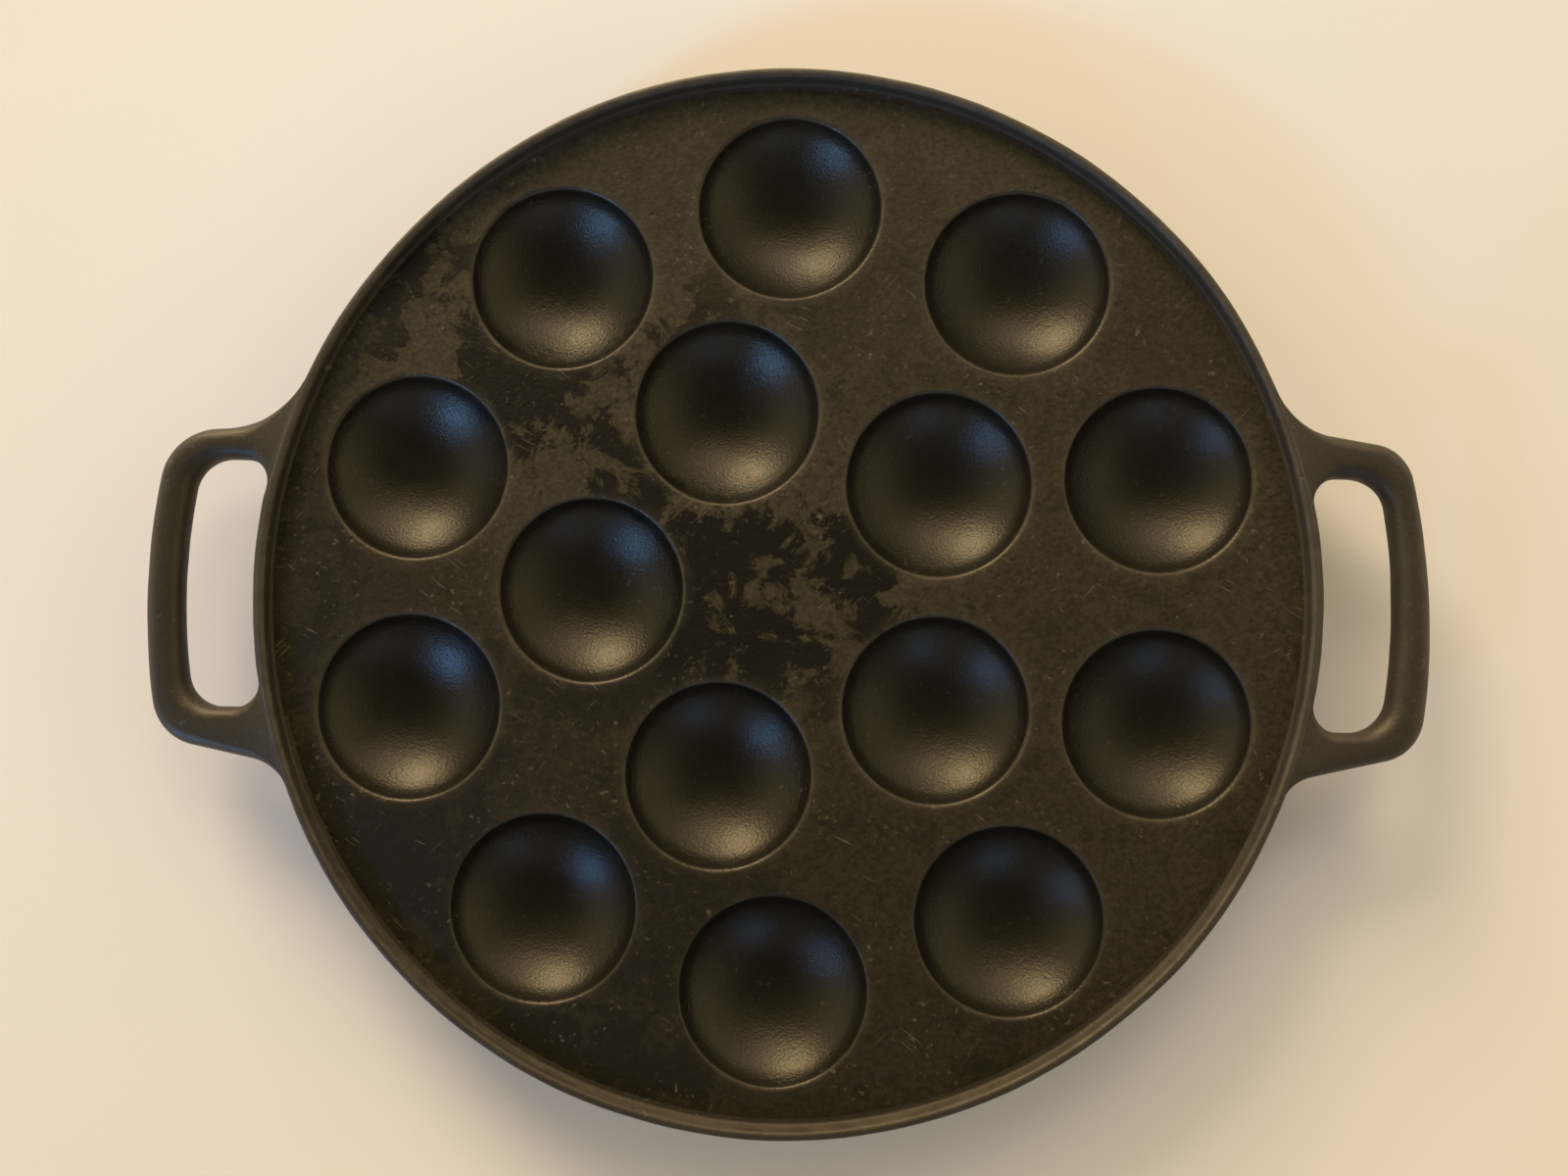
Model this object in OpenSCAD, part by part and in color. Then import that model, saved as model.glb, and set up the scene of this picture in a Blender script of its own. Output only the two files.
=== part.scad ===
// Poffertjes pan: one iron casting with a ring of ten cups, a ring of five cups inside it,
// a low raised rim, a skirt to stand on and two loop handles on the X axis.
// The origin is at the middle of the ring that the pan stands on.

/* [Pan] */
// Diameter over the rim
pan_d = 250; // [240:1:320]
// Height of the rim above the plate
rim_h = 4; // [2.5:0.1:8]
// Width of the top of the rim, with its rounded edges
rim_w = 2.8; // [2:0.1:5]
// How far the inner side of the rim leans in towards the plate
rim_lean = 1.6; // [0.5:0.1:3]
// Radius of the rounded edges of the rim and of the foot
edge_r = 0.8; // [0.3:0.1:0.9]
// Radius of the cove between the rim and the plate
cove_r = 2; // [0.5:0.1:2.4]
// Thickness of the plate
plate_t = 4; // [3:0.1:6]

/* [Skirt] */
// Wall of the skirt below the plate
skirt_t = 3.4; // [2.5:0.1:5]
// How far the foot of the skirt lies inside the rim
skirt_taper = 3.6; // [0.5:0.1:6]
// Radius of the cove between the skirt and the underside of the plate
skirt_cove_r = 2; // [0.5:0.1:2.5]
// Gap between the lowest cup and what the pan stands on
foot_gap = 1.5; // [0.5:0.1:6]

/* [Cups] */
// Number of cups in the outer ring, twice the number in the inner ring
outer_cups = 10; // [6:2:10]
// Diameter of a cup's mouth, inside its rounded lip
cup_d = 43.6; // [34:0.2:45]
// Depth of a cup below the plate
cup_depth = 12.5; // [10.5:0.1:16]
// Radius of the bend between a cup's bottom and its side
bend_r = 10.5; // [8:0.1:11.5]
// Slope of a cup's side at the mouth, in degrees from level
cup_slope = 75; // [66:1:82]
// Radius of a cup's rounded lip
lip_r = 1.9; // [0.4:0.1:2.4]
// Wall of a cup
cup_t = 3.5; // [2.5:0.1:5]
// Radius of the fillet between a cup and the underside of the plate
root_r = 1.6; // [0.5:0.1:1.8]
// Flat plate between the mouths of the outer ring and the foot of the rim
rim_land = 6; // [5:0.1:12]
// Plate between the mouths of an inner cup and the outer cups next to it
web_w = 8; // [7:0.1:12]

/* [Handles] */
// Clear width of a finger gap, from the pan outwards
finger_gap = 18.2; // [12:0.2:30]
// Length of a finger gap, along the grip
finger_len = 59.4; // [44:0.2:80]
// Ledge of the pan's wall along a finger gap
ledge_w = 0.4; // [0.3:0.1:4]
// Width of the grip bar
grip_w = 7.9; // [6:0.1:14]
// Width of the lug at each end of the grip bar
lug_w = 9.6; // [6:0.1:14]
// Height of the grip bar
grip_h = 8; // [6:0.1:10]
// Radius of the grip's rounded edges
grip_edge_r = 2.8; // [1:0.1:2.9]
// How far the top of the grip lies below the top of the rim
grip_drop = 1.2; // [0.6:0.1:4]
// How far a lug draws in towards its outer end
lug_draw = 1.6; // [0:0.1:3]
// Radius of the finger gap's corners next to the grip bar
gap_out_r = 9; // [5:0.1:10]
// Radius of the finger gap's corners next to the pan
gap_in_r = 6.4; // [3:0.1:7]
// Radius of the bend from a lug into the wall of the pan, which ends at the lug's outer corner
lug_root_r = 26; // [10:0.2:30]
// Outer corner of the left handle, upper end
left_upper_r = 14; // [6:0.2:15]
// Outer corner of the left handle, lower end
left_lower_r = 9; // [6:0.2:15]
// Outer corner of the right handle, upper end
right_upper_r = 9; // [6:0.2:15]
// Outer corner of the right handle, lower end
right_lower_r = 10.4; // [6:0.2:15]

/* [Hidden] */
iron = [0.16, 0.14, 0.12];
$fn = 96;
// Overlap by which joined forms share metal and cuts break through
bite = 0.5;

// Heights
plate_z = foot_gap + cup_t + cup_depth;
under_z = plate_z - plate_t;
pan_h = plate_z + rim_h;
grip_z = pan_h - grip_drop - grip_h / 2;
// The wall is upright past the handles and tapers below them
taper_z = min(under_z, grip_z - grip_h / 2);

// Radii of the pan
pan_r = pan_d / 2;
rim_in_r = pan_r - rim_w;
rim_foot_r = rim_in_r - rim_lean;
foot_r = pan_r - skirt_taper;
foot_in_r = foot_r - skirt_t;

// Cup section: a shallow crown and a tighter bend that meet with a common tangent
mouth_r = cup_d / 2;
bend_x = mouth_r - bend_r * sin(cup_slope);
bend_z = bend_r * cos(cup_slope);
bend_drop = bend_z + cup_depth;
crown_r = (bend_x * bend_x + bend_drop * bend_drop - bend_r * bend_r) / (2 * (bend_drop - bend_r));
crown_z = crown_r - cup_depth;
crown_slope = atan2(bend_x, crown_z - bend_z);

// Places of the cups: the outer ring keeps its land to the rim, and each inner cup keeps its
// web to the two outer cups that it lies between
outer_ring_r = rim_foot_r - rim_land - mouth_r;
half_step = 180 / outer_cups;
web_span = cup_d + web_w;
inner_ring_r = outer_ring_r * cos(half_step) - sqrt(pow(web_span, 2) - pow(outer_ring_r * sin(half_step), 2));

// Radii in a handle, all about the middle of the pan
gap_near_r = pan_r + ledge_w;
gap_far_r = gap_near_r + finger_gap;
grip_r = gap_far_r + grip_w;
// The hidden side of a handle lies inside the wall of the pan
buried_r = pan_r - rim_w / 2;
// The bend at a lug's root ends a little inside the wall, so that no gap is left
root_seat_r = pan_r - bite;
gap_half = finger_len / 2;
lug_y = gap_half + lug_w;
draw_slope = lug_draw / (finger_gap + grip_w);
draw_angle = atan(draw_slope);
// Corners of a finger gap, limited by its width
far_r = min(gap_out_r, 0.56 * finger_gap);
near_r = min(gap_in_r, 0.4 * finger_gap);

// Steps of a handle's outline along a side and round a corner, and of its rounded edges
side_steps = 6;
corner_steps = 8;
edge_steps = 3;

function unit(v) = v / norm(v);

// The arc that rounds a corner whose sides leave along the unit vectors a and b: where it
// touches each side, and its centre
function corner_fit(corner, a, b, r) =
    let (turn = abs(cross(a, b)), reach = r * (1 + a * b) / turn)
    [corner + a * reach, corner + b * reach, corner + (a + b) * r / turn];

// What is cut away to round an outer corner
module corner_cut(corner, a, b, r) {
    fit = corner_fit(corner, a, b, r);
    difference() {
        polygon([fit[0], corner + (corner - fit[2]) / 2, fit[1]]);
        translate(fit[2]) circle(r);
    }
}

// Half section of the plate, the rim and the skirt
module pan_section() {
    rim_foot = [rim_foot_r, plate_z];
    rim_inner = [rim_in_r, pan_h];
    rim_outer = [pan_r, pan_h];
    wall_bend = [pan_r, taper_z];
    foot_outer = [foot_r, 0];
    foot_inner = [foot_in_r, 0];
    skirt_root = [pan_r - skirt_t, under_z];
    rim_cove = corner_fit(rim_foot, [-1, 0], unit(rim_inner - rim_foot), cove_r);
    skirt_cove = corner_fit(skirt_root, [-1, 0], unit(foot_inner - skirt_root), skirt_cove_r);
    difference() {
        polygon([
            [0, under_z], [0, plate_z], rim_cove[0], rim_cove[1], rim_inner, rim_outer,
            wall_bend, foot_outer, foot_inner, skirt_cove[1], skirt_cove[0]
        ]);
        translate(rim_cove[2]) circle(cove_r);
        translate(skirt_cove[2]) circle(skirt_cove_r);
        corner_cut(rim_inner, [1, 0], unit(rim_foot - rim_inner), edge_r);
        corner_cut(rim_outer, [-1, 0], [0, -1], edge_r);
        corner_cut(foot_outer, [-1, 0], unit(wall_bend - foot_outer), edge_r);
        corner_cut(foot_inner, [1, 0], unit(skirt_root - foot_inner), edge_r);
    }
}

// A cup's bowl, moved out by a wall, whose top edge flares out round a radius at a level.
// Level 0 is the top of the plate.
module cup_form(wall, flare_r, level) {
    side_r = bend_r + wall;
    drop = bend_z + flare_r - level;
    flare_x = bend_x + sqrt(pow(side_r + flare_r, 2) - pow(drop, 2));
    touch_z = bend_z - drop * side_r / (side_r + flare_r);
    below = crown_r + wall;
    rotate_extrude() {
        intersection() {
            translate([0, -below]) square([below, below + level + bite]);
            union() {
                translate([bend_x, bend_z]) circle(side_r);
                intersection() {
                    translate([0, crown_z]) circle(crown_r + wall);
                    polygon([[0, crown_z], [0, -below], [(crown_z + below) * tan(crown_slope), -below]]);
                }
            }
        }
        difference() {
            translate([0, touch_z]) square([flare_x, level + bite - touch_z]);
            translate([flare_x, level - flare_r]) circle(flare_r);
        }
    }
}

// Puts a copy of its child at every cup
module at_cups() {
    for (i = [0 : outer_cups - 1])
        rotate([0, 0, (2 * i + 1) * half_step]) translate([outer_ring_r, 0, plate_z]) children();
    for (i = [0 : outer_cups / 2 - 1])
        rotate([0, 0, (4 * i + 2) * half_step]) translate([inner_ring_r, 0, plate_z]) children();
}

// Points on an arc of so many steps from one angle to another, without the first few and the
// last few where a neighbour has them
function arc(center, r, from, to, steps, skip_first = 0, skip_last = 0) = [
    for (i = [skip_first : steps - skip_last])
        let (a = from + (to - from) * i / steps) center + r * [cos(a), sin(a)]
];

// Centre of the corner that touches the lug's slanting edge and a circle about the pan. A
// radius below zero gives the bend on the other side of that edge.
function lug_corner(circle_r, r) =
    let (
        k = draw_slope,
        a = lug_y + k * gap_near_r - r * sqrt(1 + k * k),
        d = circle_r - r,
        x = (a * k + sqrt(a * a * k * k - (1 + k * k) * (a * a - d * d))) / (1 + k * k)
    ) [x, a - k * x];

// Largest bend at a lug's root that still ends before the outer corner begins
function root_limit(corner) =
    (pow(corner.x, 2) - pow(root_seat_r, 2) + pow(lug_y, 2)) / (2 * (root_seat_r - lug_y));

// Centre of a finger gap's corner, which touches the gap's end and a circle about the pan
function gap_corner(circle_r, r, inside) =
    let (y = gap_half - r, d = inside ? circle_r - r : circle_r + r) [sqrt(d * d - y * y), y];

// One half of a handle's outline, as pairs of a point on the finger gap and a point on the
// outside, from the middle of the grip bar round to the middle of the pan's wall
function half_handle(corner_r) =
    let (
        far = gap_corner(gap_far_r, far_r, true),
        near = gap_corner(gap_near_r, near_r, false),
        corner = lug_corner(grip_r, corner_r),
        root_r = min(lug_root_r, root_limit(corner)),
        root = lug_corner(root_seat_r, -root_r),
        far_a = atan2(far.y, far.x),
        near_a = atan2(near.y, near.x),
        corner_a = atan2(corner.y, corner.x),
        root_a = atan2(root.y, root.x),
        gap_line = concat(
            arc([0, 0], gap_far_r, 0, far_a, side_steps, 0, 1),
            arc(far, far_r, far_a, 90, corner_steps),
            arc(near, near_r, 90, 180 + near_a, corner_steps),
            arc([0, 0], gap_near_r, near_a, 0, side_steps, 1)
        ),
        outer_line = concat(
            arc([0, 0], grip_r, 0, corner_a, side_steps, 0, 1),
            arc(corner, corner_r, corner_a, 90 - draw_angle, corner_steps),
            arc(root, root_r, 270 - draw_angle, 180 + root_a, corner_steps),
            arc([0, 0], buried_r, near_a, 0, side_steps, 1)
        )
    ) [for (i = [0 : len(gap_line) - 1]) [gap_line[i], outer_line[i]]];

// Ring of points round the section between a pair of outline points, with rounded edges
function section_ring(gap_p, outer_p) =
    let (
        w = norm(outer_p - gap_p),
        u = (outer_p - gap_p) / w,
        r = min(grip_edge_r, 0.45 * w),
        right = w - r,
        top = grip_h / 2 - r,
        corners = [[right, top], [r, top], [r, -top], [right, -top]]
    ) [
        for (q = [0 : 3], i = [0 : edge_steps])
            let (a = 90 * q + 90 * i / edge_steps, s = corners[q] + r * [cos(a), sin(a)], p = gap_p + u * s.x)
            [p.x, p.y, grip_z + s.y]
    ];

// The handle on the +X side
module handle(upper_r, lower_r) {
    upper = half_handle(upper_r);
    lower = half_handle(lower_r);
    last = len(upper) - 1;
    mirrored = [for (i = [last - 1 : -1 : 1]) [[lower[i][0].x, -lower[i][0].y], [lower[i][1].x, -lower[i][1].y]]];
    pairs = concat(upper, mirrored);
    rings = len(pairs);
    around = 4 * (edge_steps + 1);
    points = [for (p = pairs) each section_ring(p[0], p[1])];
    faces = [
        for (i = [0 : rings - 1], j = [0 : around - 1])
            let (i2 = (i + 1) % rings, j2 = (j + 1) % around)
            [i * around + j, i * around + j2, i2 * around + j2, i2 * around + j]
    ];
    polyhedron(points, faces);
}

module pan() {
    color(iron)
        difference() {
            union() {
                rotate_extrude() pan_section();
                at_cups() cup_form(cup_t, root_r, -plate_t);
                handle(right_upper_r, right_lower_r);
                rotate([0, 0, 180]) handle(left_lower_r, left_upper_r);
            }
            at_cups() cup_form(0, lip_r, 0);
        }
}

pan();
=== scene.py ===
"""Poffertjes pan of seasoned cast iron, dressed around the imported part.

The casting is one shell: cup bowls and the domes below them, the plate between, the rim and the
skirt turned about the middle, and a loop handle on each side. Sizes are in millimetres up to the
point where a mesh is made, and the origin is at the middle of the ring that the pan stands on.
"""

import math

import bmesh
import bpy
from mathutils import Matrix, Vector, geometry, noise


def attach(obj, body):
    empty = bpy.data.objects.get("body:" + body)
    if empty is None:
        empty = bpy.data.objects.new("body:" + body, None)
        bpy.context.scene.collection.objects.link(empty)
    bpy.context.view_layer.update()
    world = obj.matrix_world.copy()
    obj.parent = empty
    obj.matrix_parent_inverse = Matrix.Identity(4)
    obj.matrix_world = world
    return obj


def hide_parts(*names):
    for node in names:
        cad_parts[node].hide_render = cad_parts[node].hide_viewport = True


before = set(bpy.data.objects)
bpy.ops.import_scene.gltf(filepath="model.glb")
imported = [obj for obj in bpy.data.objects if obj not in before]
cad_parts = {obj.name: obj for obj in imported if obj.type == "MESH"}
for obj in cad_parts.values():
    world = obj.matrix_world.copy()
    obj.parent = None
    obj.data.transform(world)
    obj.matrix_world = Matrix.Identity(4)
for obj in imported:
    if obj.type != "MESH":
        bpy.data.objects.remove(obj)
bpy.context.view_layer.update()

MM = 0.001

# Pan and rim
PAN_R = 125.0
RIM_H = 3.4
RIM_W = 2.1
RIM_LEAN = 0.4
EDGE_R = 0.95
COVE_R = 0.7
PLATE_T = 4.0

# Skirt
SKIRT_T = 3.4
SKIRT_TAPER = 3.6
SKIRT_COVE_R = 2.0
FOOT_GAP = 1.5
WALL_BEND_R = 8.0

# Cups
OUTER_CUPS = 10
OUTER_RING_R = 92.8
INNER_RING_R = 45.36
MOUTH_R = 22.0
CUP_DEPTH = 12.5
BEND_R = 10.5
CUP_SLOPE = 75.0
LIP_R = 1.2
CUP_T = 3.5
ROOT_R = 1.6

# Handles
LEDGE_W = 0.4
FINGER_LEN = 59.4
GRIP_H = 8.0
GRIP_EDGE_R = 3.5
GRIP_DROP = 0.3
GAP_OUT_R = 9.0
GAP_IN_R = 6.4
# Clear width of each finger gap, width of its grip bar, and how much the bar thickens along Y
RIGHT_BAR = (17.7, 7.5, -0.035)
LEFT_BAR = (18.7, 8.1, 0.0)
# Both ends of each handle, the right one's upper end and the left one's lower end first: outer
# corner, bend at the root, lug width and its draw
RIGHT_ENDS = ((9.5, 20.0, 10.7, 4.3), (12.0, 10.5, 9.6, 6.0))
LEFT_ENDS = ((12.5, 13.0, 11.9, 5.0), (14.0, 25.4, 7.9, 1.3))
# Small fillets where a handle meets the wall, on its top and on its underside
TOP_FILLET = 0.2
LOW_FILLET = 1.8
# How far inside the outline of the wall the bends at the roots start
ROOT_SINK = 0.3
# Reach outside the wall over which a handle's edges become fully round, and its bar fully thick
ROUND_OVER = 8.0
THICKEN_OVER = 12.0

# Heights that follow
PLATE_Z = FOOT_GAP + CUP_T + CUP_DEPTH
UNDER_Z = PLATE_Z - PLATE_T
PAN_H = PLATE_Z + RIM_H
GRIP_Z = PAN_H - GRIP_DROP - GRIP_H / 2
# The plate's own finish ends here, a little inside the cove of the rim
PLATE_R = PAN_R - RIM_W - RIM_LEAN - 1


def clamped(value):
    """The value, kept between 0 and 1."""
    return min(1.0, max(0.0, value))


def into_scene(name, data):
    """Makes an object of a mesh, a light or a camera and puts it in the scene."""
    made = bpy.data.objects.new(name, data)
    bpy.context.scene.collection.objects.link(made)
    return made


# Shader and geometry nodes

FLOAT = "NodeSocketFloat"
INTEGER = "NodeSocketInt"
VECTOR = "NodeSocketVector"
GEOMETRY = "NodeSocketGeometry"
FINISH = "NodeSocketMaterial"


def set_inputs(tree, node, inputs):
    """Links or sets a node's inputs, by name or by place."""
    for name, value in inputs.items():
        socket = node.inputs[name]
        if isinstance(value, bpy.types.NodeSocket):
            tree.links.new(value, socket)
        else:
            socket.default_value = value


def add(tree, kind, inputs=None, **settings):
    """Adds a node with its settings and inputs and gives the node back."""
    node = tree.nodes.new(kind)
    for name, value in settings.items():
        setattr(node, name, value)
    set_inputs(tree, node, inputs or {})
    return node


def maths(tree, operation, a, b=0.0, clamp=False):
    """Adds a maths node and gives back its value."""
    node = add(tree, "ShaderNodeMath", {0: a, 1: b}, operation=operation, use_clamp=clamp)
    return node.outputs[0]


def vectors(tree, operation, a, b):
    """Adds a vector maths node and gives back its vector."""
    return add(tree, "ShaderNodeVectorMath", {0: a, 1: b}, operation=operation).outputs["Vector"]


def length_of(tree, vector):
    """Adds a node for a vector's length and gives back the length."""
    return add(tree, "ShaderNodeVectorMath", {0: vector}, operation="LENGTH").outputs["Value"]


def spun(tree, vector, angle, center=(0.0, 0.0, 0.0)):
    """The vector turned about an upright axis through the center."""
    inputs = {"Vector": vector, "Center": center, "Angle": angle}
    return add(tree, "ShaderNodeVectorRotate", inputs, rotation_type="Z_AXIS").outputs["Vector"]


def ramp(tree, value, low, high, to_low=0.0, to_high=1.0, smooth=True):
    """Takes a value from one range to another and keeps it inside."""
    kind = "SMOOTHSTEP" if smooth else "LINEAR"
    inputs = {"Value": value, "From Min": low, "From Max": high,
              "To Min": to_low, "To Max": to_high}
    return add(tree, "ShaderNodeMapRange", inputs, interpolation_type=kind).outputs["Result"]


def mix_color(tree, share, a, b):
    """Goes from the first color to the second by the share."""
    node = add(tree, "ShaderNodeMix", {"Factor": share}, data_type="RGBA")
    set_inputs(tree, node, {6: a, 7: b})
    return node.outputs[2]


def mix_value(tree, share, a, b):
    """Goes from the first value to the second by the share."""
    node = add(tree, "ShaderNodeMix", {0: share}, data_type="FLOAT")
    set_inputs(tree, node, {2: a, 3: b})
    return node.outputs[0]


def noise_at(tree, vector, scale, detail=3.0, rough=0.5, distortion=0.0):
    """Cloudy noise between 0 and 1 at a place."""
    inputs = {"Vector": vector, "Scale": scale, "Detail": detail, "Roughness": rough,
              "Distortion": distortion}
    return add(tree, "ShaderNodeTexNoise", inputs).outputs["Fac"]


def new_tree(name, kind, inputs, outputs):
    """Makes a node group with named sockets, and gives back the tree, its inputs and its end.
    Each input is a name, a kind of socket and a value, and each output a name and a kind."""
    tree = bpy.data.node_groups.new(name, kind)
    for label, socket, value in inputs:
        made = tree.interface.new_socket(label, in_out="INPUT", socket_type=socket)
        if value is not None:
            made.default_value = value
    for label, socket in outputs:
        tree.interface.new_socket(label, in_out="OUTPUT", socket_type=socket)
    start = tree.nodes.new("NodeGroupInput")
    end = tree.nodes.new("NodeGroupOutput")
    return tree, start.outputs, end


# Middle of the long flaked patch, its turn, and how much it is drawn out along its length
FLAKED_AT = (-0.035, 0.032, 0.0175)
FLAKED_TURN = 0.61
FLAKED_DRAW = (0.5, 1.0, 1.0)


def seasoning_group():
    """Where layers of seasoning have flaked or worn, the fine mottling and light flecks between them.
    The seasoning has flaked most in the middle and the upper left of the pan. Away from there the
    coat is painted lighter towards the upper right and darker towards the lower left, as painted
    light and shade."""
    tree, given, end = new_tree(
        "seasoning", "ShaderNodeTree",
        [("Vector", VECTOR, None), ("Patch Scale", FLOAT, 30.0), ("Fleck Scale", FLOAT, 620.0)],
        [("Patches And Painted Light", FLOAT), ("Mottling", FLOAT), ("Flecks", FLOAT)])
    place = given["Vector"]
    broad = noise_at(tree, place, given["Patch Scale"], 3.0, 0.5, 0.4)
    finer = maths(tree, "MULTIPLY", given["Patch Scale"], 4.0)
    ragged = noise_at(tree, place, finer, 7.0, 0.7, 0.5)
    flaked = ramp(tree, mix_value(tree, 0.5, broad, ragged), 0.482, 0.518)
    # The flaked part is a long patch across the plate, from the upper left to past the middle
    off = vectors(tree, "SUBTRACT", spun(tree, place, FLAKED_TURN, FLAKED_AT), FLAKED_AT)
    away = length_of(tree, vectors(tree, "MULTIPLY", off, FLAKED_DRAW))
    frayed = maths(tree, "MULTIPLY", noise_at(tree, place, 26.0, 4.0, 0.6), 0.06)
    in_patch = ramp(tree, maths(tree, "ADD", away, frayed), 0.058, 0.09, 1.0, 0.2)
    # Painted light and shade: outside the flaked patch the coat goes from dark at the lower left to
    # the lighter worn coat at the upper right
    at = add(tree, "ShaderNodeSeparateXYZ", {0: place})
    toward_lit_side = maths(tree, "ADD", at.outputs["X"], at.outputs["Y"])
    even = ramp(tree, toward_lit_side, -0.2, 0.2, 0.08, 1.0, smooth=False)
    patches_and_painted_light = mix_value(tree, in_patch, even, flaked)
    finest = maths(tree, "MULTIPLY", given["Patch Scale"], 26.0)
    mottling = ramp(tree, noise_at(tree, place, finest, 6.0, 0.72), 0.4, 0.6)
    speck = noise_at(tree, place, given["Fleck Scale"], 3.0, 0.6)
    gathered = ramp(tree, noise_at(tree, place, 70.0, 3.0, 0.6), 0.42, 0.62)
    flecks = maths(tree, "MULTIPLY", ramp(tree, speck, 0.6, 0.72), gathered)
    set_inputs(tree, end, {"Patches And Painted Light": patches_and_painted_light, "Mottling": mottling, "Flecks": flecks})
    return tree


def scratch_group():
    """Short light scratches that run one way, broken up and gathered here and there."""
    tree, given, end = new_tree(
        "scratches", "ShaderNodeTree",
        [("Vector", VECTOR, None), ("Turn", FLOAT, 0.0), ("Offset", FLOAT, 0.0)],
        [("Scratches", FLOAT)])
    turned = spun(tree, given["Vector"], given["Turn"])
    wavy = add(tree, "ShaderNodeTexNoise", {"Vector": turned, "Scale": 40.0, "Detail": 1.0})
    bent = vectors(tree, "MULTIPLY", wavy.outputs["Color"], (0.004, 0.004, 0.0))
    # Stretched noise: about twenty times finer across a scratch than along it
    drawn_out = vectors(tree, "MULTIPLY", vectors(tree, "ADD", turned, bent), (2400.0, 110.0, 60.0))
    shift = add(tree, "ShaderNodeCombineXYZ", {"X": given["Offset"], "Y": given["Offset"]}).outputs[0]
    lines = noise_at(tree, vectors(tree, "ADD", drawn_out, shift), 1.0, 0.0)
    where = noise_at(tree, vectors(tree, "ADD", turned, shift), 55.0, 1.0)
    marks = maths(tree, "MULTIPLY", ramp(tree, lines, 0.75, 0.82), ramp(tree, where, 0.57, 0.7))
    set_inputs(tree, end, {"Scratches": marks})
    return tree


def grain_group():
    """Skin of the casting: sand grain, a slow roll of the surface and a few pits."""
    tree, given, end = new_tree(
        "casting skin", "ShaderNodeTree",
        [("Vector", VECTOR, None), ("Grain Scale", FLOAT, 1400.0), ("Roll Scale", FLOAT, 180.0),
         ("Roll", FLOAT, 0.5), ("Pits", FLOAT, 0.5)],
        [("Height", FLOAT)])
    place = given["Vector"]
    grain = noise_at(tree, place, given["Grain Scale"], 4.0, 0.6)
    roll = noise_at(tree, place, given["Roll Scale"], 3.0, 0.5)
    cells = add(tree, "ShaderNodeTexVoronoi", {"Vector": place, "Scale": 420.0, "Randomness": 1.0})
    chosen = ramp(tree, noise_at(tree, place, 90.0, 2.0, 0.5), 0.56, 0.66)
    hole = ramp(tree, cells.outputs["Distance"], 0.1, 0.3, 1.0, 0.0)
    pits = maths(tree, "MULTIPLY", maths(tree, "MULTIPLY", hole, chosen), given["Pits"])
    rolling = maths(tree, "MULTIPLY", roll, given["Roll"])
    height = maths(tree, "ADD", maths(tree, "MULTIPLY", grain, 0.35), rolling)
    set_inputs(tree, end, {"Height": maths(tree, "SUBTRACT", height, pits)})
    return tree


def wear_group():
    """Where edges have been worn by use, with the painted light and shade that the edge value also
    carries on the near side: the edge value of the mesh, broken up by the grain.
    """
    tree, given, end = new_tree(
        "edge wear and painted light", "ShaderNodeTree",
        [("Edge", FLOAT, 0.0), ("Vector", VECTOR, None), ("Amount", FLOAT, 1.0)],
        [("Wear And Painted Light", FLOAT)])
    broken = noise_at(tree, given["Vector"], 220.0, 4.0, 0.6)
    edge = maths(tree, "MULTIPLY", given["Edge"], ramp(tree, broken, 0.25, 0.7, 0.35, 1.0))
    set_inputs(tree, end, {"Wear And Painted Light": maths(tree, "MULTIPLY", edge, given["Amount"], clamp=True)})
    return tree


SEASONING = seasoning_group()
SCRATCHES = scratch_group()
SKIN = grain_group()
WEAR = wear_group()


# Roughness of iron that use has rubbed, and of the handles, which hands have polished
RUBBED_ROUGH = 0.34
HELD_ROUGH = 0.3
# The polish begins a little way outside the wall, and is full here, in metres
HELD_FROM = 0.128
HELD_FULL = 0.134


def place_group(tree, group, inputs):
    """Puts a shared group in a material with its own values and gives back its outputs."""
    node = tree.nodes.new("ShaderNodeGroup")
    node.node_tree = group
    set_inputs(tree, node, inputs)
    return node.outputs


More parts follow.
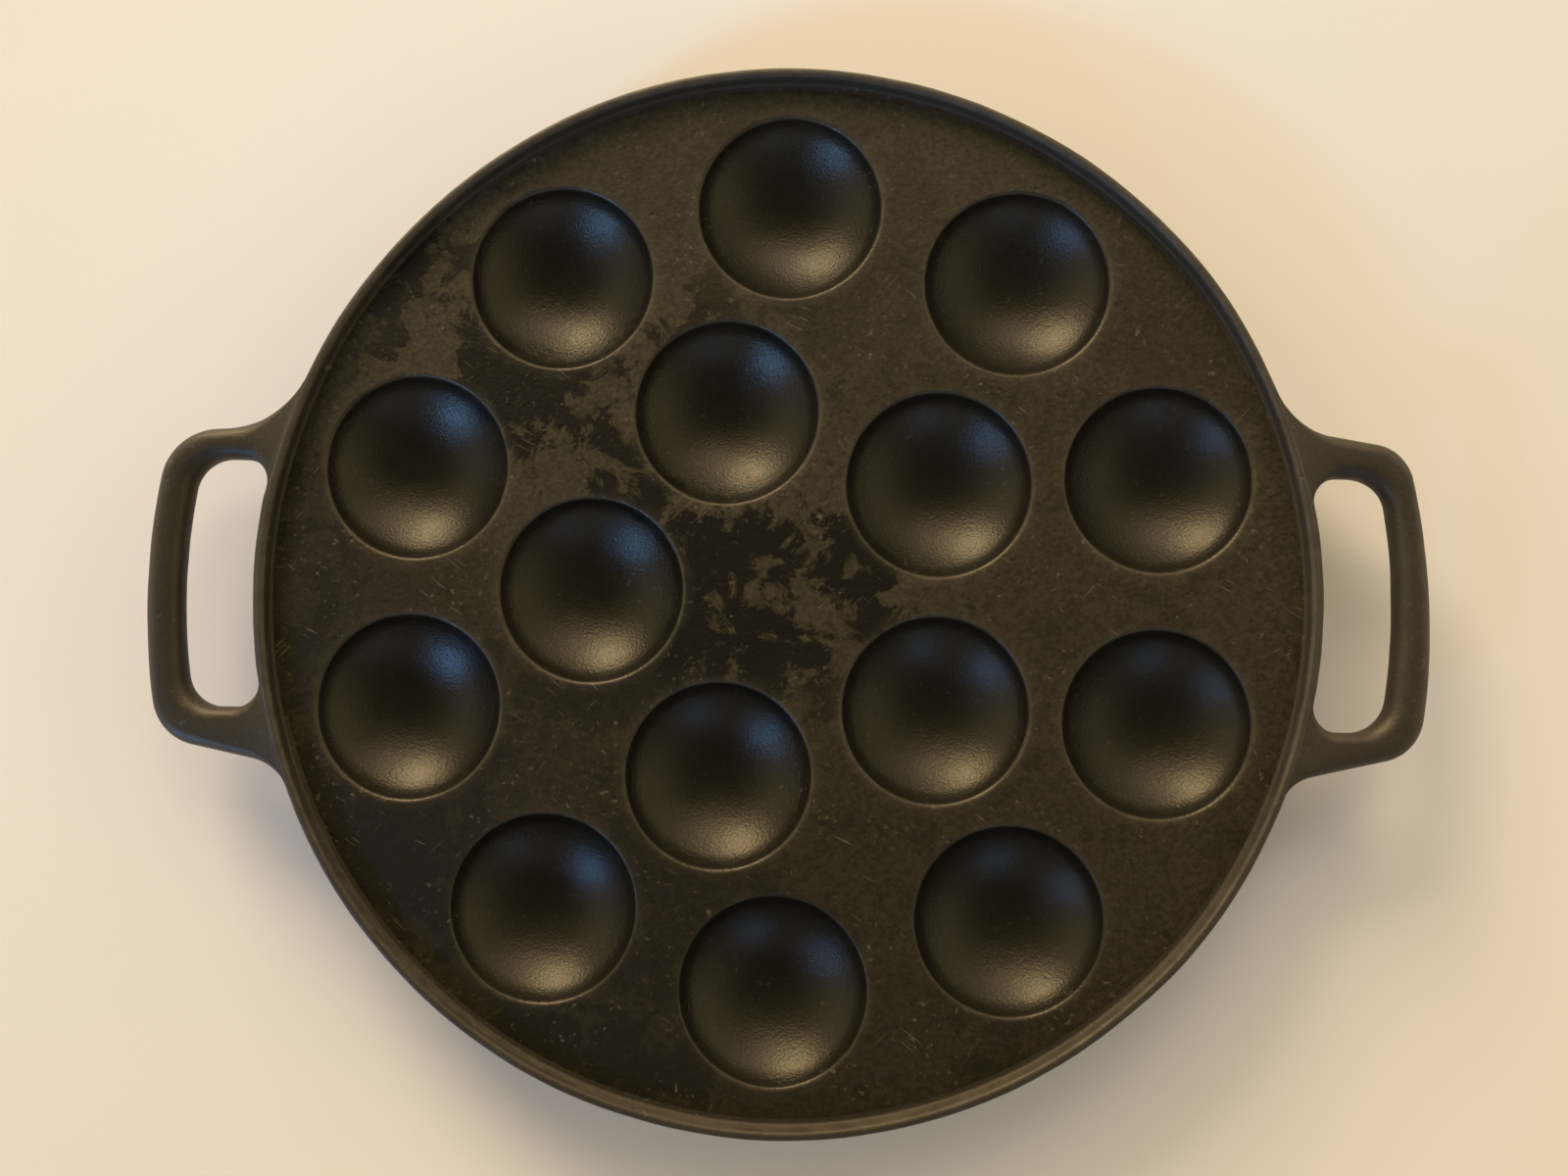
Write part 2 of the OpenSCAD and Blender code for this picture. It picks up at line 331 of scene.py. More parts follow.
def iron_material(name, colors, rough, patch_scale, grain, roll, pits, bump, wear, scratched, ior,
                  held=0.0):
    """Seasoned iron with its own values for the shared seasoning, scratches, skin and wear. Its
    colors are those of the dark coat, the worn coat and the light flecks, and each coat has its
    own roughness."""
    dark, worn, fleck = colors
    material = bpy.data.materials.new(name)
    material.use_nodes = True
    tree = material.node_tree
    shader = tree.nodes["Principled BSDF"]
    place = add(tree, "ShaderNodeTexCoord").outputs["Object"]
    edge = add(tree, "ShaderNodeAttribute", attribute_name="edge").outputs["Fac"]
    cover = place_group(tree, SEASONING, {"Vector": place, "Patch Scale": patch_scale})
    skin = place_group(tree, SKIN, {
        "Vector": place, "Grain Scale": grain, "Roll": roll, "Pits": pits})
    wear_and_painted_light = place_group(tree, WEAR, {"Edge": edge, "Vector": place, "Amount": wear})["Wear And Painted Light"]
    scratches = 0.0
    for turn, offset in ((0.7, 3.0), (-0.9, 17.0), (2.0, 41.0)):
        marks = place_group(tree, SCRATCHES, {"Vector": place, "Turn": turn, "Offset": offset})
        scratches = maths(tree, "MAXIMUM", scratches, marks["Scratches"])
    # This mix also paints the coat lighter towards the upper right and darker towards the lower left,
    # as painted light and shade
    coat = mix_color(tree, cover["Patches And Painted Light"], dark, worn)
    coat = mix_color(tree, maths(tree, "MULTIPLY", cover["Mottling"], 0.5), coat, dark)
    coat = mix_color(tree, maths(tree, "MULTIPLY", cover["Flecks"], 0.5), coat, fleck)
    # The light flecks of wear here also carry the painted shade and light of the near side, from the
    # edge value
    coat = mix_color(tree, maths(tree, "MULTIPLY", wear_and_painted_light, 0.6), coat, fleck)
    coat = mix_color(tree, maths(tree, "MULTIPLY", scratches, scratched), coat, fleck)
    gloss = mix_value(tree, cover["Patches And Painted Light"], rough[0], rough[1])
    gloss = mix_value(tree, maths(tree, "MULTIPLY", wear_and_painted_light, 0.6), gloss, RUBBED_ROUGH)
    polish = ramp(tree, length_of(tree, place), HELD_FROM, HELD_FULL, 0.0, held)
    gloss = mix_value(tree, polish, gloss, HELD_ROUGH)
    lift = add(tree, "ShaderNodeBump", {
        "Strength": bump, "Distance": 0.0004, "Height": skin["Height"]})
    set_inputs(tree, shader, {
        "Base Color": coat, "Roughness": gloss, "Normal": lift.outputs["Normal"]})
    shader.inputs["IOR"].default_value = ior
    shader.inputs["Specular Tint"].default_value = (1.0, 0.82, 0.56, 1.0)
    return material


PLATE = iron_material(
    "seasoned plate",
    colors=((0.002, 0.0014, 0.0006, 1), (0.043, 0.0315, 0.0145, 1), (0.15, 0.117, 0.07, 1)),
    rough=(0.5, 0.6), patch_scale=30.0, grain=1100.0, roll=0.35, pits=0.3, bump=1.0,
    wear=0.5, scratched=0.6, ior=1.33)
CUP = iron_material(
    "satin cup",
    colors=((0.0058, 0.0047, 0.0026, 1), (0.009, 0.0073, 0.004, 1), (0.07, 0.056, 0.036, 1)),
    rough=(0.31, 0.355), patch_scale=40.0, grain=1500.0, roll=0.2, pits=0.12, bump=0.9,
    wear=0.9, scratched=0.15, ior=1.43)
CASTING = iron_material(
    "casting skin",
    colors=((0.016, 0.0122, 0.0073, 1), (0.034, 0.0262, 0.017, 1), (0.11, 0.088, 0.06, 1)),
    rough=(0.56, 0.66), patch_scale=36.0, grain=1200.0, roll=0.5, pits=0.35, bump=0.8,
    wear=0.8, scratched=0.3, ior=1.44, held=0.4)
MATERIALS = [CASTING, PLATE, CUP]
CASTING_SLOT, PLATE_SLOT, CUP_SLOT = range(len(MATERIALS))


# Sections

def arc(center, radius, start, stop, steps):
    """Points on an arc between two angles in degrees."""
    turns = [math.radians(start + (stop - start) * i / steps) for i in range(steps + 1)]
    return [Vector((center[0] + radius * math.cos(a), center[1] + radius * math.sin(a)))
            for a in turns]


def cup_section(wall, flare_r, level, crown_steps, bend_steps, flare_steps):
    """Half section of a cup, from its middle to the plate: a shallow crown, a tighter bend and a
    flare onto the plate. Heights are above the top of the plate."""
    slope = math.radians(CUP_SLOPE)
    bend_x = MOUTH_R - BEND_R * math.sin(slope)
    bend_z = BEND_R * math.cos(slope)
    drop = bend_z + CUP_DEPTH
    crown_r = (bend_x ** 2 + drop ** 2 - BEND_R ** 2) / (2 * (drop - BEND_R))
    crown_z = crown_r - CUP_DEPTH
    crown_end = math.degrees(math.atan2(bend_x, crown_z - bend_z))
    reach = BEND_R + wall + flare_r
    fall = bend_z + flare_r - level
    bend_end = math.degrees(math.acos(fall / reach))
    flare_x = bend_x + math.sqrt(reach ** 2 - fall ** 2)
    crown = arc((0, crown_z), crown_r + wall, -90, -90 + crown_end, crown_steps)
    bend = arc((bend_x, bend_z), BEND_R + wall, -90 + crown_end, -90 + bend_end, bend_steps)
    flare = arc((flare_x, level - flare_r), flare_r, 90 + bend_end, 90, flare_steps)
    return crown + bend[1:] + flare[1:]


def rounded(corners, steps):
    """A line through corners given as (r, z, radius), with each corner rounded."""
    points = [Vector(c[:2]) for c in corners]
    line = [points[0]]
    for before, here, after, corner in zip(points, points[1:], points[2:], corners[1:]):
        radius = corner[2]
        to_before = (before - here).normalized()
        to_after = (after - here).normalized()
        half = to_before.angle(to_after) / 2
        center = here + (to_before + to_after).normalized() * radius / math.sin(half)
        first = here + to_before * radius / math.tan(half) - center
        last = here + to_after * radius / math.tan(half) - center
        start = math.degrees(math.atan2(first.y, first.x))
        turn = math.degrees(-first.angle_signed(last))
        line += arc(center, radius, start, start + turn, steps)
    return line + [points[-1]]


def spaced(line, longest):
    """The same line with no step longer than asked."""
    made = [line[0]]
    for a, b in zip(line, line[1:]):
        count = max(1, math.ceil((b - a).length / longest))
        made += [a.lerp(b, i / count) for i in range(1, count + 1)]
    return made


# Flat strips that lead from the plate and from its underside to the wall's section
STRIP_W = 3.0
UNDER_STRIP_W = 3.2


def wall_section():
    """From the plate over the rim, down the wall, round the foot and up to the plate's underside."""
    rim_in = PAN_R - RIM_W
    foot = PAN_R - SKIRT_TAPER
    corners = [
        (rim_in - RIM_LEAN - STRIP_W, PLATE_Z, 0),
        (rim_in - RIM_LEAN, PLATE_Z, COVE_R),
        (rim_in, PAN_H, EDGE_R),
        (PAN_R, PAN_H, EDGE_R),
        (PAN_R, GRIP_Z - GRIP_H / 2, WALL_BEND_R),
        (foot, 0, EDGE_R),
        (foot - SKIRT_T, 0, EDGE_R),
        (PAN_R - SKIRT_T, UNDER_Z, SKIRT_COVE_R),
        (PAN_R - SKIRT_T - UNDER_STRIP_W, UNDER_Z, 0),
    ]
    return spaced(rounded(corners, 5), 1.1)


# The turned shapes and the rings of cups, in geometry nodes

SECTION_INPUTS = [("Section", GEOMETRY, None), ("Points", INTEGER, 2), ("Segments", INTEGER, 96)]


def turning_tree():
    """Turns a section, given as a row of points, about the Z axis and closes its seam and middle.
    A grid has a row for each point of the section and a column for each step of the turn."""
    tree, given, end = new_tree(
        "turned section", "GeometryNodeTree", SECTION_INPUTS, [("Mesh", GEOMETRY)])
    columns = maths(tree, "ADD", given["Segments"], 1.0)
    grid = add(tree, "GeometryNodeMeshGrid", {
        "Size X": 1.0, "Size Y": 1.0, "Vertices X": given["Points"], "Vertices Y": columns})
    place = add(tree, "GeometryNodeInputPosition").outputs[0]
    at = add(tree, "ShaderNodeSeparateXYZ", {0: place})
    last = maths(tree, "SUBTRACT", given["Points"], 1.0)
    along = maths(tree, "MULTIPLY", maths(tree, "ADD", at.outputs["X"], 0.5), last)
    point = add(tree, "GeometryNodeSampleIndex", {
        "Geometry": given["Section"], "Value": place, "Index": maths(tree, "ROUND", along)},
        data_type="FLOAT_VECTOR")
    turn = maths(tree, "MULTIPLY", maths(tree, "ADD", at.outputs["Y"], 0.5), math.tau)
    placed = add(tree, "GeometryNodeSetPosition", {
        "Geometry": grid.outputs["Mesh"], "Position": spun(tree, point.outputs["Value"], turn)})
    merged = add(tree, "GeometryNodeMergeByDistance", {
        "Geometry": placed.outputs["Geometry"], "Distance": 0.01 * MM})
    set_inputs(tree, end, {"Mesh": merged.outputs["Geometry"]})
    return tree


TURNED = turning_tree()


def turned_once(tree, given):
    """Places the turning of a section in another tree and gives back its mesh."""
    turned = add(tree, "GeometryNodeGroup", node_tree=TURNED)
    set_inputs(tree, turned, {label: given[label] for label, _, _ in SECTION_INPUTS})
    return turned.outputs[0]


def finish_tree(tree, given, end, made):
    """Ends a tree: its instances made real, in the iron that it is given."""
    real = add(tree, "GeometryNodeRealizeInstances", {0: made})
    coated = add(tree, "GeometryNodeSetMaterial", {
        "Geometry": real.outputs[0], "Material": given["Iron"]})
    set_inputs(tree, end, {"Mesh": coated.outputs[0]})
    return tree


def turned_tree():
    """One turned section with its material."""
    tree, given, end = new_tree(
        "turned piece", "GeometryNodeTree",
        SECTION_INPUTS + [("Iron", FINISH, None)], [("Mesh", GEOMETRY)])
    return finish_tree(tree, given, end, turned_once(tree, given))


def cup_rings_tree():
    """One turned cup, repeated round an outer ring and, half as often, round an inner ring."""
    tree, given, end = new_tree(
        "rings of cups", "GeometryNodeTree",
        SECTION_INPUTS
        + [("Outer Cups", INTEGER, OUTER_CUPS), ("Outer Ring", FLOAT, OUTER_RING_R * MM),
           ("Inner Ring", FLOAT, INNER_RING_R * MM), ("Plate Height", FLOAT, PLATE_Z * MM),
           ("Iron", FINISH, None)],
        [("Mesh", GEOMETRY)])
    half_step = maths(tree, "DIVIDE", math.pi, given["Outer Cups"])
    step = maths(tree, "MULTIPLY", half_step, 2.0)
    inner_cups = maths(tree, "DIVIDE", given["Outer Cups"], 2.0)
    height = add(tree, "ShaderNodeCombineXYZ", {"Z": given["Plate Height"]}).outputs[0]
    join = tree.nodes.new("GeometryNodeJoinGeometry")
    for count, radius, first in (
            (given["Outer Cups"], given["Outer Ring"], half_step),
            (inner_cups, given["Inner Ring"], step)):
        ring = add(tree, "GeometryNodeMeshCircle", {"Vertices": count, "Radius": radius})
        spin = add(tree, "ShaderNodeCombineXYZ", {"Z": first}).outputs[0]
        put = add(tree, "GeometryNodeTransform", {
            "Geometry": ring.outputs[0], "Translation": height, "Rotation": spin})
        tree.links.new(put.outputs[0], join.inputs[0])
    cups = add(tree, "GeometryNodeInstanceOnPoints", {
        "Points": join.outputs[0], "Instance": turned_once(tree, given)})
    return finish_tree(tree, given, end, cups.outputs[0])


def grown(name, section, tree, values):
    """Runs a tree on a section, as metres, and gives back the plain mesh."""
    mesh = bpy.data.meshes.new(name)
    mesh.from_pydata([(p.x * MM, 0, p.y * MM) for p in section], [], [])
    host = into_scene(name, mesh)
    modifier = host.modifiers.new(name, "NODES")
    modifier.node_group = tree
    sockets = {i.name: i.identifier for i in tree.interface.items_tree if i.in_out == "INPUT"}
    for label, value in {"Points": len(section), **values}.items():
        modifier[sockets[label]] = value
    seen = host.evaluated_get(bpy.context.evaluated_depsgraph_get())
    made = bpy.data.meshes.new_from_object(seen)
    host.modifiers.remove(modifier)
    bpy.data.objects.remove(host)
    return made


# The shell of the pan

BOWL_SEGMENTS = 84
DOME_SEGMENTS = 60
WALL_SEGMENTS = 360
# Spacing of the triangles that fill the plate and its underside
PLATE_PITCH = 2.2
UNDER_PITCH = 3.2


def border_loops(shell):
    """The open borders of a mesh as rows of vertices, one for each hole."""
    # A dictionary keeps the order of the edges, so that each run gives the same loops
    edges = dict.fromkeys(e for e in shell.edges if e.is_boundary)
    loops = []
    while edges:
        edge, _ = edges.popitem()
        row = [edge.verts[0], edge.verts[1]]
        while row[-1] is not row[0]:
            step = next(e for e in row[-1].link_edges if e in edges)
            del edges[step]
            row.append(step.other_vert(row[-1]))
        loops.append(row[:-1])
    return loops


def fill_plate(shell, loops, pitch, clear):
    """Fills the flat between the outermost loop and the holes with even triangles, whose own
    points keep clear of both."""
    rows = sorted(loops, key=lambda row: -max(v.co.xy.length for v in row))
    level = rows[0][0].co.z
    corners = [v for row in rows for v in row]
    places = [v.co.xy for v in corners]
    edges = []
    at = 0
    for row in rows:
        edges += [(at + i, at + (i + 1) % len(row)) for i in range(len(row))]
        at += len(row)
    outer_r = min(v.co.xy.length for v in rows[0])
    holes = [(sum((v.co.xy for v in row), Vector((0, 0))) / len(row), row) for row in rows[1:]]
    holes = [(middle, (row[0].co.xy - middle).length) for middle, row in holes]
    rise = pitch * math.sqrt(3) / 2
    count = math.ceil(outer_r / rise)
    for j in range(-count, count + 1):
        for i in range(-count, count + 1):
            p = Vector(((i + (j % 2) / 2) * pitch, j * rise))
            if p.length < outer_r - clear and all((p - m).length > r + clear for m, r in holes):
                places.append(p)
    points, _, faces, came_from, _, _ = geometry.delaunay_2d_cdt(places, edges, [], 0, 1e-9)
    verts = []
    for p, origins in zip(points, came_from):
        known = [i for i in origins if i < len(corners)]
        verts.append(corners[known[0]] if known else shell.verts.new((p.x, p.y, level)))
    for face in faces:
        middle = sum((points[i] for i in face), Vector((0, 0))) / len(face)
        if all((middle - m).length > r * 0.999 for m, r in holes):
            shell.faces.new([verts[i] for i in face])


def pan_shell():
    """The closed shell of the pan without its handles."""
    rings = cup_rings_tree()
    ring_sizes = {"Outer Cups": OUTER_CUPS, "Outer Ring": OUTER_RING_R * MM,
                  "Inner Ring": INNER_RING_R * MM, "Plate Height": PLATE_Z * MM}
    bowls = grown("cup bowls", cup_section(0, LIP_R, 0, 12, 8, 5), rings,
                  {**ring_sizes, "Segments": BOWL_SEGMENTS, "Iron": CUP})
    domes = grown("cup domes", cup_section(CUP_T, ROOT_R, -PLATE_T, 9, 6, 4), rings,
                  {**ring_sizes, "Segments": DOME_SEGMENTS, "Iron": CASTING})
    wall = grown("rim and skirt", wall_section(), turned_tree(),
                 {"Segments": WALL_SEGMENTS, "Iron": CASTING})
    shell = bmesh.new()
    for mesh in (bowls, domes, wall):
        shell.from_mesh(mesh)
        bpy.data.meshes.remove(mesh)
    for level, pitch in ((PLATE_Z, PLATE_PITCH), (UNDER_Z, UNDER_PITCH)):
        loops = [row for row in border_loops(shell) if abs(row[0].co.z - level * MM) < 0.01 * MM]
        fill_plate(shell, loops, pitch * MM, pitch / 2 * MM)
    bmesh.ops.recalc_face_normals(shell, faces=shell.faces)
    return shell


# The handles

def lug_corner(circle_r, radius, lug_w, slope):
    """Center of the corner that touches the lug's slanting edge and a circle about the pan. A
    radius below zero gives the bend on the other side of that edge."""
    stretch = 1 + slope * slope
    a = FINGER_LEN / 2 + lug_w + slope * (PAN_R + LEDGE_W) - radius * math.sqrt(stretch)
    d = circle_r - radius
    x = (a * slope + math.sqrt((a * slope) ** 2 - stretch * (a * a - d * d))) / stretch
    return Vector((x, a - slope * x))


def gap_corner(circle_r, radius, inside):
    """Center of a corner of the finger gap, which touches the gap's end and a circle about the
    pan, from inside that circle or from outside it."""
    y = FINGER_LEN / 2 - radius
    d = circle_r - radius if inside else circle_r + radius
    return Vector((math.sqrt(d * d - y * y), y))


def half_handle(end, bar):
    """Half of a handle's outline from the middle of the grip to the middle of the pan's wall, as
    pairs of a point on the finger gap and a point on the outside."""
    corner_r, root_r, lug_w, draw_in = end
    gap_w, grip_w, _ = bar
    near_r = PAN_R + LEDGE_W
    far_r = near_r + gap_w
    grip_r = far_r + grip_w
    slope = draw_in / (gap_w + grip_w)
    draw = math.degrees(math.atan(slope))
    far = gap_corner(far_r, GAP_OUT_R, True)
    near = gap_corner(near_r, GAP_IN_R, False)
    corner = lug_corner(grip_r, corner_r, lug_w, slope)
    root = lug_corner(PAN_R - ROOT_SINK, -root_r, lug_w, slope)
    far_turn, near_turn, corner_turn, root_turn = (
        math.degrees(math.atan2(p.y, p.x)) for p in (far, near, corner, root))
    gap_line = (arc((0, 0), far_r, 0, far_turn, 16)[:-1]
                + arc(far, GAP_OUT_R, far_turn, 90, 16)
                + arc(near, GAP_IN_R, 90, 180 + near_turn, 20)
                + arc((0, 0), near_r, near_turn, 0, 16)[1:])
    outer_line = (arc((0, 0), grip_r, 0, corner_turn, 16)[:-1]
                  + arc(corner, corner_r, corner_turn, 90 - draw, 16)
                  + arc(root, root_r, 270 - draw, 180 + root_turn, 20)
                  + arc((0, 0), PAN_R - RIM_W / 2, near_turn, 0, 16)[1:])
    return list(zip(gap_line, outer_line))


def section_ring(gap, outer, steps):
    """Points round the handle's section between a pair of outline points, with fillets that
    spread it up and down as it comes to the wall."""
    width = (outer - gap).length
    side = (outer - gap).normalized()
    # The edges are rounder on the grip than where the lugs meet the wall
    free = clamped((outer.length - PAN_R) / ROUND_OVER)
    radius = min(GRIP_EDGE_R, 0.45 * width) * (0.5 + 0.5 * free)
    right = width - radius
    top = GRIP_H / 2 - radius
    ring = []
    for quarter, (x, z) in enumerate([(right, top), (radius, top), (radius, -top), (right, -top)]):
        for p in arc((x, z), radius, 90 * quarter, 90 * (quarter + 1), steps):
            at = gap + side * p.x
            fillet = TOP_FILLET if p.y > 0 else LOW_FILLET
            near = clamped(1 - (at.length - PAN_R) / fillet)
            spread = fillet * (1 - math.sqrt(1 - near * near))
            ring.append(Vector((at.x, at.y, GRIP_Z + p.y + math.copysign(spread, p.y))))
    return ring


def thickened(outer, share):
    """Moves a point of the outside as the bar thickens along Y, but none that is at the wall."""
    free = clamped((outer.length - PAN_R) / THICKEN_OVER)
    return outer + Vector((share * outer.y * free, 0))


def handle_mesh(ends, bar, bearing):
    """One loop handle as a closed ring of sections, sunk in the wall of the pan. It is made at the
    right of the pan and turned to its bearing."""
    upper = half_handle(ends[0], bar)
    lower = [(Vector((a.x, -a.y)), Vector((b.x, -b.y))) for a, b in half_handle(ends[1], bar)]
    pairs = [(a, thickened(b, bar[2])) for a, b in upper + lower[-2:0:-1]]
    rings = [section_ring(a, b, 5) for a, b in pairs]
    shape = bmesh.new()
    spin = Matrix.Rotation(bearing, 3, "Z")
    verts = [[shape.verts.new(spin @ p * MM) for p in ring] for ring in rings]
    for row, after in zip(verts, verts[1:] + verts[:1]):
        for i in range(len(row)):
            k = (i + 1) % len(row)
            shape.faces.new((row[i], row[k], after[k], after[i]))
    bmesh.ops.remove_doubles(shape, verts=shape.verts, dist=0.005 * MM)
    bmesh.ops.recalc_face_normals(shape, faces=shape.faces)
    mesh = bpy.data.meshes.new("loop handle")
    shape.to_mesh(mesh)
    shape.free()
    mesh.materials.append(CASTING)
    return mesh


def joined(shell, handles):
    """The shell and its handles as one closed skin."""
    mesh = bpy.data.meshes.new("pan_casting")
    shell.to_mesh(mesh)
    shell.free()
    for material in MATERIALS:
        mesh.materials.append(material)
    pan = into_scene("pan_casting", mesh)
    for handle in handles:
        other = into_scene("loop handle", handle)
        cut = pan.modifiers.new("join", "BOOLEAN")
        cut.operation = "UNION"
        cut.solver = "MANIFOLD"
        cut.object = other
        seen = pan.evaluated_get(bpy.context.evaluated_depsgraph_get())
        made = bpy.data.meshes.new_from_object(seen)
        if len(made.vertices) <= len(pan.data.vertices):
            raise RuntimeError("a handle was not joined to the pan")
        pan.modifiers.remove(cut)
        pan.data = made
        bpy.data.objects.remove(other)
    return pan


# The outline is a little wide and out of round, and longest at this bearing
WALL_GROWTH = 0.28
OVAL = 0.35
OVAL_TURN = math.radians(78)
# How far inside the outline the walls begin to waver
WAVER_IN = 12.0
# Without a seed of its own the noise would start from the clock
CASTING_SEED = 7


def cast_unevenly(shape):
    """Moves the skin a little, as sand moulds do: a slow wave in the walls, a finer one all over.
    The foot stays level, since the pan stands on it."""
    noise.seed_set(CASTING_SEED)
    for vert in shape.verts:
        at = vert.co / MM
        wave = noise.noise_vector(at / 34.0 + Vector((3.1, 7.4, 1.2)))
        ripple = noise.noise(at / 9.0 + Vector((11.0, 2.0, 5.0)))
        fine = noise.noise(at / 3.2 + Vector((5.0, 17.0, 8.0)))
        hold = clamped(at.z / 2.0)
        edge = clamped((at.xy.length - PAN_R + WAVER_IN) / 10)
        shift = wave * (0.06 + 0.2 * edge)
        shift.z *= 0.5
        if at.xy.length > PAN_R - WAVER_IN:
            bearing = math.atan2(at.y, at.x)
            out = WALL_GROWTH + OVAL * math.cos(2 * (bearing - OVAL_TURN))
            shift.xy += at.xy.normalized() * edge * out
        vert.co += (shift + vert.normal * (0.05 * ripple + 0.02 * fine) * (0.5 + edge)) * hold * MM


def give_irons(shape):
    """Shades each face smooth and gives it the iron of the cups, of the plate round them or of the
    rest of the casting."""
    step = math.pi / OUTER_CUPS
    axes = [Vector((math.cos(a), math.sin(a))) * r * MM
            for r, a in [(OUTER_RING_R, (2 * i + 1) * step) for i in range(OUTER_CUPS)]
            + [(INNER_RING_R, (4 * i + 2) * step) for i in range(OUTER_CUPS // 2)]]
    lip = (MOUTH_R + 0.25) * MM
    for face in shape.faces:
        face.smooth = True
        middle = face.calc_center_median()
        face.material_index = CASTING_SLOT
        if face.normal.z > 0 and middle.xy.length < PLATE_R * MM:
            in_cup = any((middle.xy - a).length < lip for a in axes)
            face.material_index = CUP_SLOT if in_cup else PLATE_SLOT


def mark_edges(shape):
    """Gives each vertex its place on an edge, by how sharply the skin falls away round it. On the
    near side the light worn lines of the lips and of the outer rim are painted fainter, as painted
    shade, and the inside of the rim is painted lighter with worn flecks, as painted light."""
    edge = shape.verts.layers.float.new("edge")
    for vert in shape.verts:
        bend = 0.0
        for link in vert.link_edges:
            along = link.other_vert(vert).co - vert.co
            if along.length > 0:
                bend = max(bend, -along.normalized().dot(vert.normal) / (along.length / MM))
        near_side_painted_light = clamped((-vert.co.y / MM - 35) / 40)
        far_out = vert.co.xy.length / MM
        worn = clamped(bend * 2.0 - 0.1)
        # Painted shade and light on the near side: the lips' lines fainter, the inside of the rim
        # lighter, the outer rim's lines fainter
        if far_out < PLATE_R:
            worn *= 1 - 0.7 * near_side_painted_light
        elif far_out < PAN_R - RIM_W + 0.5 and vert.co.z > (PLATE_Z + 0.4) * MM:
            worn = max(worn, 0.85 * near_side_painted_light)
        elif far_out < PAN_R + 1:
            worn *= 1 - 0.6 * near_side_painted_light
        vert[edge] = worn


def finish_surface(pan):
    """Cleans the joined skin, gives it the unevenness of a casting, its irons and its edges."""
    mesh = pan.data
    mesh.materials.clear()
    for material in MATERIALS:
        mesh.materials.append(material)
    shape = bmesh.new()
    shape.from_mesh(mesh)
    bmesh.ops.remove_doubles(shape, verts=shape.verts, dist=0.002 * MM)
    shape.normal_update()
    cast_unevenly(shape)
    shape.normal_update()
    give_irons(shape)
    mark_edges(shape)
    shape.to_mesh(mesh)
    shape.free()


casting = joined(pan_shell(), [
    handle_mesh(RIGHT_ENDS, RIGHT_BAR, 0), handle_mesh(LEFT_ENDS, LEFT_BAR, math.pi)])
finish_surface(casting)
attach(casting, "root")
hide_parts("pan")


# Floor, lights and camera

FLOOR_HALF = 2.5


def floor():
    """A plain pale table with the faintest clouds in it."""
    mesh = bpy.data.meshes.new("floor")
    corners = [(x * FLOOR_HALF, y * FLOOR_HALF, 0) for x, y in ((-1, -1), (1, -1), (1, 1), (-1, 1))]
    mesh.from_pydata(corners, [], [(0, 1, 2, 3)])
    plane = into_scene("floor", mesh)
    material = bpy.data.materials.new("pale table")
    material.use_nodes = True
    tree = material.node_tree
    place = add(tree, "ShaderNodeTexCoord").outputs["Object"]
    cloud = noise_at(tree, place, 6.0, 3.0, 0.5)
    tone = mix_color(tree, cloud, (0.8, 0.71, 0.6, 1), (0.83, 0.74, 0.63, 1))
    set_inputs(tree, tree.nodes["Principled BSDF"], {"Base Color": tone, "Roughness": 0.7})
    mesh.materials.append(material)


# The point that the soft lamps face
LAMPS_AIM = (0, 0, 0.02)


def area_light(name, color, power, azimuth, elevation, distance, size):
    """A soft oblong light that faces the pan from a bearing about it."""
    lamp = bpy.data.lights.new(name, "AREA")
    lamp.color = color
    lamp.energy = power
    lamp.shape = "RECTANGLE"
    lamp.size, lamp.size_y = size
    body = into_scene(name, lamp)
    a, e = math.radians(azimuth), math.radians(elevation)
    out = Vector((math.cos(a) * math.cos(e), math.sin(a) * math.cos(e), math.sin(e)))
    body.location = Vector(LAMPS_AIM) + out * distance
    body.rotation_mode = "QUATERNION"
    body.rotation_quaternion = out.to_track_quat("Z", "Y")


def window_light(name, color, power, place, aim, spread, size):
    """A round soft light whose beam fades out away from the point that it is aimed at."""
    lamp = bpy.data.lights.new(name, "SPOT")
    lamp.color = color
    lamp.energy = power
    lamp.spot_size = math.radians(spread)
    lamp.spot_blend = 1.0
    lamp.shadow_soft_size = size
    body = into_scene(name, lamp)
    body.location = place
    body.rotation_mode = "QUATERNION"
    body.rotation_quaternion = (Vector(place) - Vector(aim)).to_track_quat("Z", "Y")


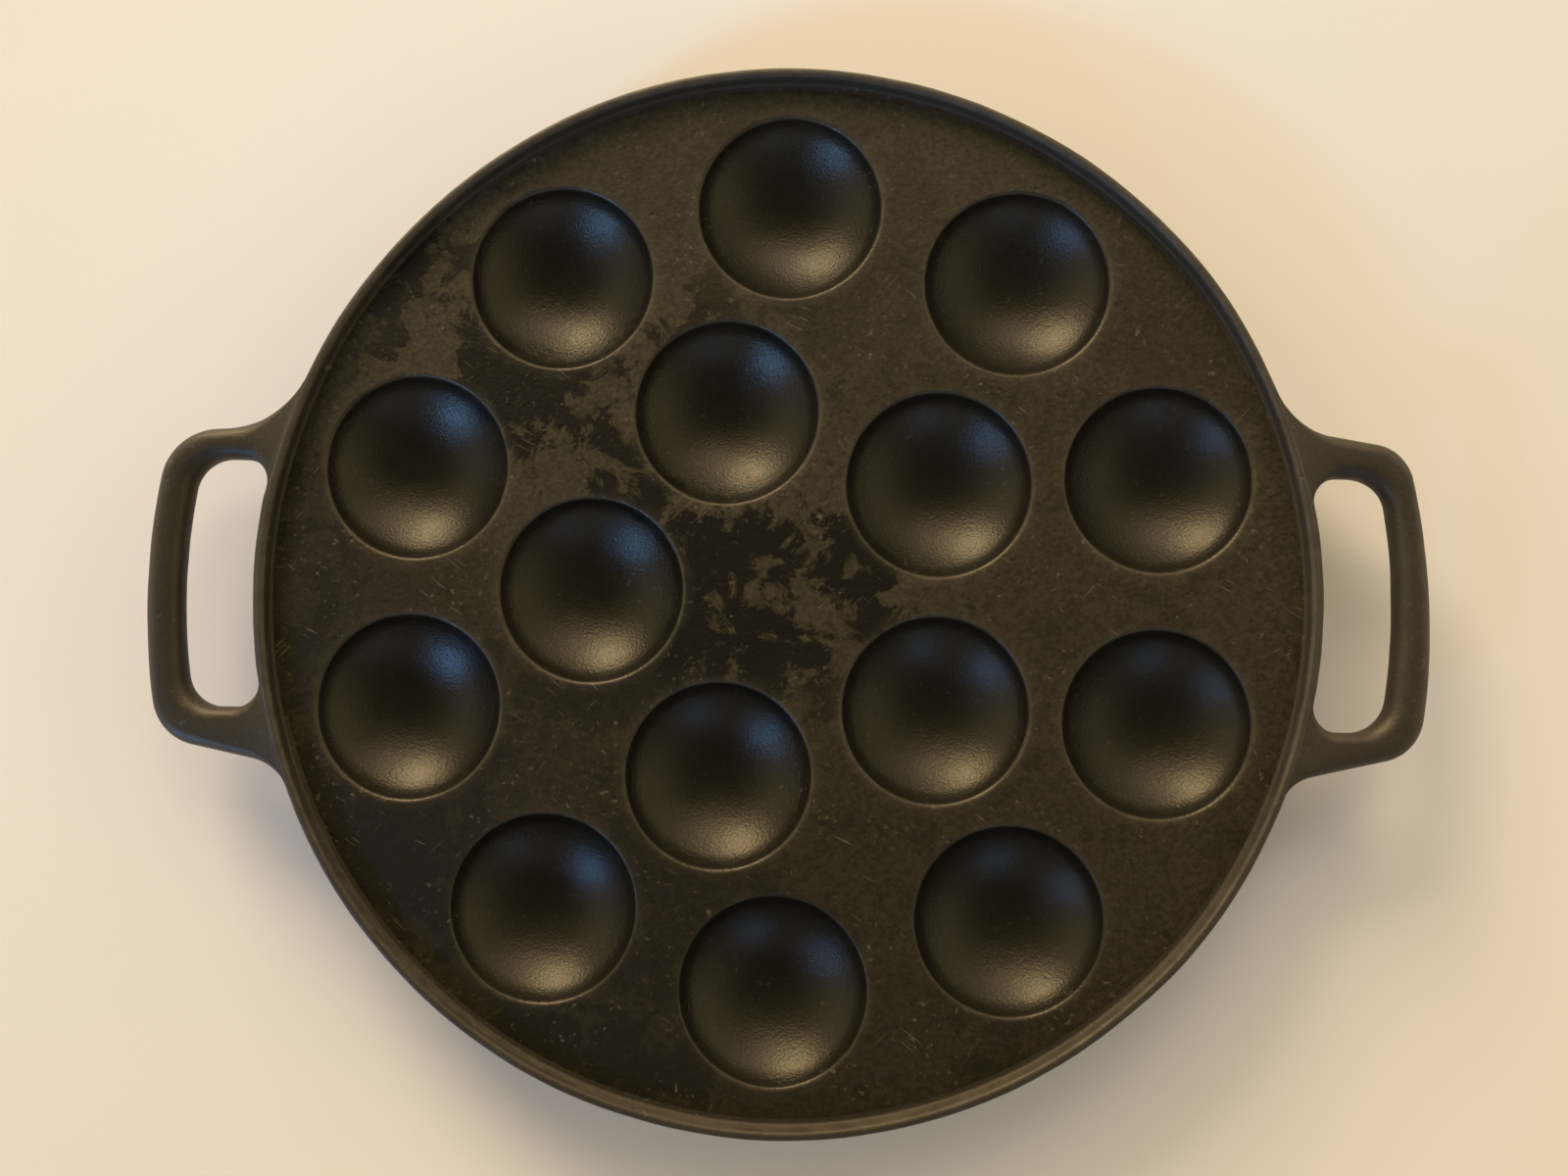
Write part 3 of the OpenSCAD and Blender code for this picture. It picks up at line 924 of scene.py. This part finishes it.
def pale_room():
    """The light of the room, bright round its walls and dim overhead and on the near side. The
    camera sees it as one plain pale color."""
    world = bpy.data.worlds.new("pale room")
    world.use_nodes = True
    bpy.context.scene.world = world
    room = world.node_tree
    sees = add(room, "ShaderNodeLightPath").outputs["Is Camera Ray"]
    place = add(room, "ShaderNodeTexCoord").outputs["Object"]
    toward = add(room, "ShaderNodeSeparateXYZ", {0: place})
    walls = ramp(room, toward.outputs["Z"], 0.3, 0.92, 1.44, 0.24)
    beside = ramp(room, toward.outputs["Y"], -0.75, 0.1, 0.38, 1.0)
    set_inputs(room, room.nodes["Background"], {
        "Color": mix_color(room, sees, (1.0, 0.92, 0.73, 1), (0.87, 0.83, 0.78, 1)),
        "Strength": mix_value(room, sees, maths(room, "MULTIPLY", walls, beside), 1.0)})


# The camera's lens in pixels of a frame 1600 pixels wide, its place from the middle of the plate's
# top, and its turns about X, Y and Z in degrees
LENS_PX = 1202.0
FRAME_PX = 1600.0
SENSOR_W = 36.0
CAMERA_AT = (9.316, -11.565, 278.05)
CAMERA_TURNS = (-2.666, -1.794, -1.178)


def place_camera():
    """The camera that looks down on the pan."""
    lens = bpy.data.cameras.new("camera")
    lens.sensor_width = SENSOR_W
    lens.lens = SENSOR_W * LENS_PX / FRAME_PX
    lens.clip_start = 0.01
    camera = into_scene("camera", lens)
    about_x, about_y, about_z = (
        Matrix.Rotation(math.radians(turn), 3, axis) for turn, axis in zip(CAMERA_TURNS, "XYZ"))
    to_camera = about_z @ about_y @ about_x
    x, y, z = CAMERA_AT
    place = Matrix.Translation(Vector((x, y, z + PLATE_Z)) * MM)
    camera.matrix_world = place @ to_camera.transposed().to_4x4()
    bpy.context.scene.camera = camera


floor()
area_light("warm lamp", (1.0, 0.86, 0.6), 765.0, 115, 20, 9.0, (3.8, 2.8))
area_light("pale ceiling", (1.0, 0.86, 0.72), 136.0, 88, 36, 7.0, (4.4, 3.6))
window_light("cool doorway", (0.16, 0.4, 1.0), 36.0,
             (0.42, -1.36, 0.56), (0.062, -0.108, 0.0), 7.5, 0.14)
window_light("cool window", (0.14, 0.38, 1.0), 165.0,
             (-1.15, -0.87, 0.67), (0.02, 0.185, 0.0), 12.5, 0.2)
pale_room()
place_camera()
bpy.context.scene.view_settings.view_transform = "Standard"
